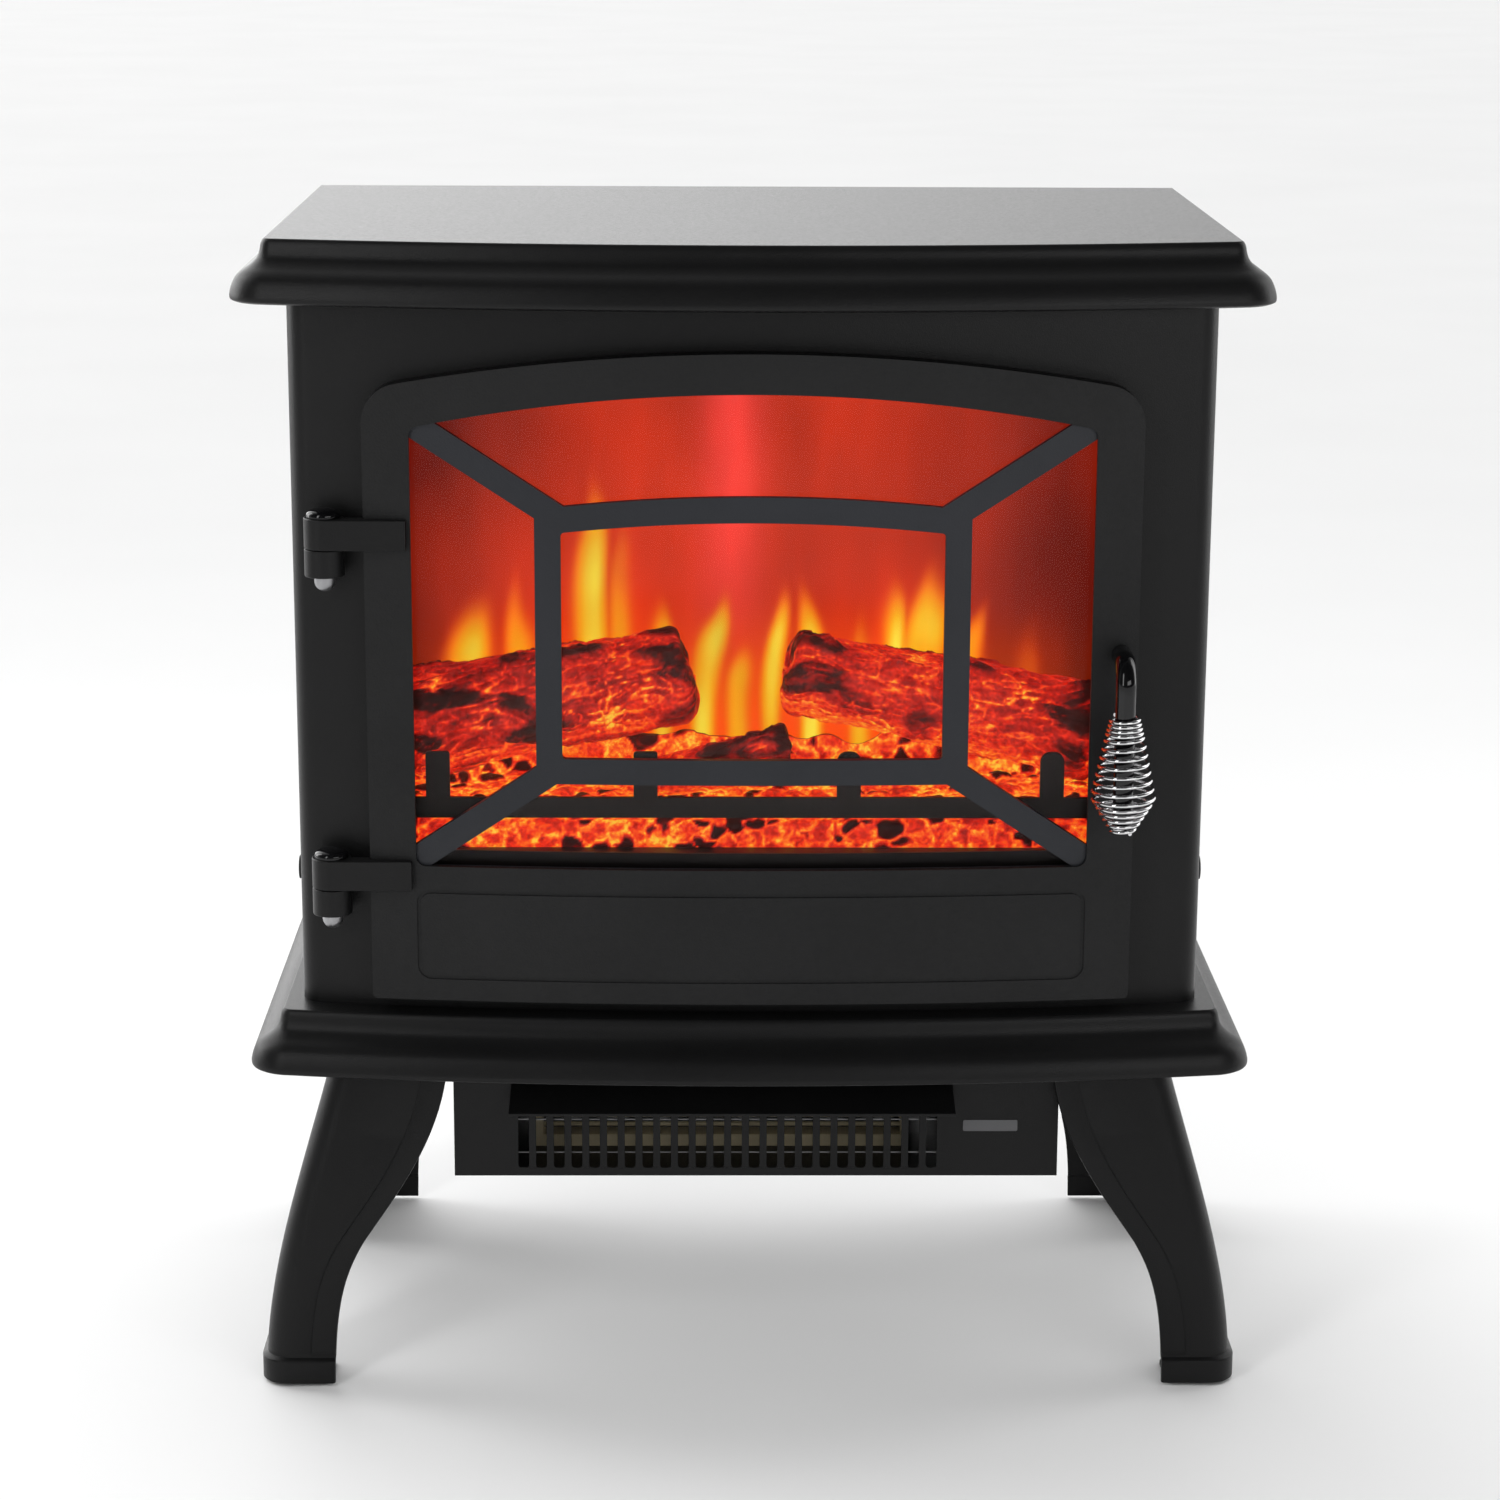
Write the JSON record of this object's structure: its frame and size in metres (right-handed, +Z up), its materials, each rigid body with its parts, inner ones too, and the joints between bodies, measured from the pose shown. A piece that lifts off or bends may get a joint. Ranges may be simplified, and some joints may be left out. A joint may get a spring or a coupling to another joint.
{
  "type": "electric stove heater",
  "caption": "Free-standing electric fireplace stove: bowed cabinet on four splayed legs, arched glazed door with coil handle, lit logs and a fan heater under the base.",
  "frame": {"origin": "centre of the bounding box on the floor plane", "axes": "+Z up, the door faces -Y, +X to the right of someone facing the door"},
  "size_m": [0.505, 0.324, 0.59],
  "materials": {
    "cabinet_paint": "satin black powder coat, fine orange peel",
    "door_paint": "fine-textured matte black powder coat",
    "grille_paint": "satin blue-black enamel",
    "window_glass": "clear, smooth",
    "gloss_black": "high gloss enamel",
    "spring_chrome": "bright chrome wire",
    "zinc": "zinc plated",
    "black_screws": "black oxide",
    "black_plastic": "fine moulded texture",
    "red_plastic": "translucent red",
    "foot_rubber": "matte",
    "screen_acrylic": "translucent acrylic, lit from behind",
    "ember_resin": "translucent moulded resin, lit from below",
    "log_resin": "bark-textured painted resin, glowing cracks",
    "grate_black": "matte black",
    "foil": "bright foil",
    "circuit_board": "green solder mask",
    "mica": "mica sheet with resistance wire",
    "label_grey": "printed film, left blank"
  },
  "bodies": {
    "cabinet": {"top_cover": "cabinet_paint", "cabinet_shell": "cabinet_paint", "rear_panel": "cabinet_paint", "rear_panel_screws": "black_screws", "base_cover": "cabinet_paint", "leg_front_left": "cabinet_paint", "leg_front_right": "cabinet_paint", "leg_rear_left": "cabinet_paint", "leg_rear_right": "cabinet_paint", "foot_pads": "foot_rubber", "leg_screws": "zinc", "side_screws": "black_screws", "hinge_bracket_upper": "cabinet_paint", "hinge_bracket_lower": "cabinet_paint", "hinge_pins": "gloss_black", "hinge_pin_nuts": "zinc", "magnet_catch": "black_plastic", "firebox_floor": "cabinet_paint", "firebox_liner": "cabinet_paint", "flame_screen": "screen_acrylic", "flame_mask": "zinc", "ember_bed": "ember_resin", "log_left": "log_resin", "log_right": "log_resin", "log_centre": "log_resin", "grate": "grate_black", "ember_light_board": "circuit_board", "flame_light_board": "circuit_board", "rotor_brackets": "zinc", "rotor_motor": "zinc", "heater_housing": "cabinet_paint", "heat_deflector": "cabinet_paint", "heating_element": "mica", "blower_scroll": "zinc", "blower_motor": "zinc", "thermal_cutout": "black_plastic", "blank_label": "label_grey", "control_panel": "black_plastic", "switch_bodies": "black_plastic", "thermostat": "zinc", "cable_gland": "black_plastic", "control_board": "circuit_board"},
    "door": {"door_frame": "door_paint", "window_grille": "grille_paint", "door_glass": "window_glass", "glass_clips": "zinc", "clip_screws": "zinc", "hinge_leaf_upper": "cabinet_paint", "hinge_leaf_lower": "cabinet_paint", "door_striker": "zinc"},
    "handle": {"handle_rod": "gloss_black", "handle_coil": "spring_chrome", "handle_nut": "zinc"},
    "power_rocker": {"rocker_power": "red_plastic"},
    "low_heat_rocker": {"rocker_heat_low": "black_plastic"},
    "high_heat_rocker": {"rocker_heat_high": "black_plastic"},
    "heat_knob": {"thermostat_knob": "black_plastic"},
    "fan": {"blower_wheel": "foil"},
    "rotor": {"flame_rotor": "foil"}
  },
  "joints": [
    {"name": "door_hinge", "type": "hinge", "parent": "cabinet", "child": "door", "pos_m": [-0.209, -0.116, 0.36], "axis": [0, 0, -1], "range_deg": [0, 120]},
    {"name": "handle_turn", "type": "hinge", "parent": "door", "child": "handle", "pos_m": [0.181, -0.1457, 0.389], "axis": [0, 1, 0], "range_deg": [-90, 90]},
    {"name": "power_switch", "type": "hinge", "parent": "cabinet", "child": "power_rocker", "pos_m": [-0.092, -0.1021, 0.244], "axis": [-1, 0, 0], "range_deg": [0, 10]},
    {"name": "low_heat_switch", "type": "hinge", "parent": "cabinet", "child": "low_heat_rocker", "pos_m": [-0.062, -0.1021, 0.244], "axis": [-1, 0, 0], "range_deg": [0, 10]},
    {"name": "high_heat_switch", "type": "hinge", "parent": "cabinet", "child": "high_heat_rocker", "pos_m": [-0.032, -0.1021, 0.244], "axis": [-1, 0, 0], "range_deg": [0, 10]},
    {"name": "heat_dial", "type": "hinge", "parent": "cabinet", "child": "heat_knob", "pos_m": [0.062, -0.1085, 0.244], "axis": [0, 1, 0], "range_deg": [0, 270]},
    {"name": "fan_spin", "type": "hinge", "parent": "cabinet", "child": "fan", "pos_m": [-0.015, 0.02, 0.15], "axis": [1, 0, 0], "continuous": true},
    {"name": "flame_spin", "type": "hinge", "parent": "cabinet", "child": "rotor", "pos_m": [0, 0.062, 0.318], "axis": [1, 0, 0], "continuous": true}
  ]
}
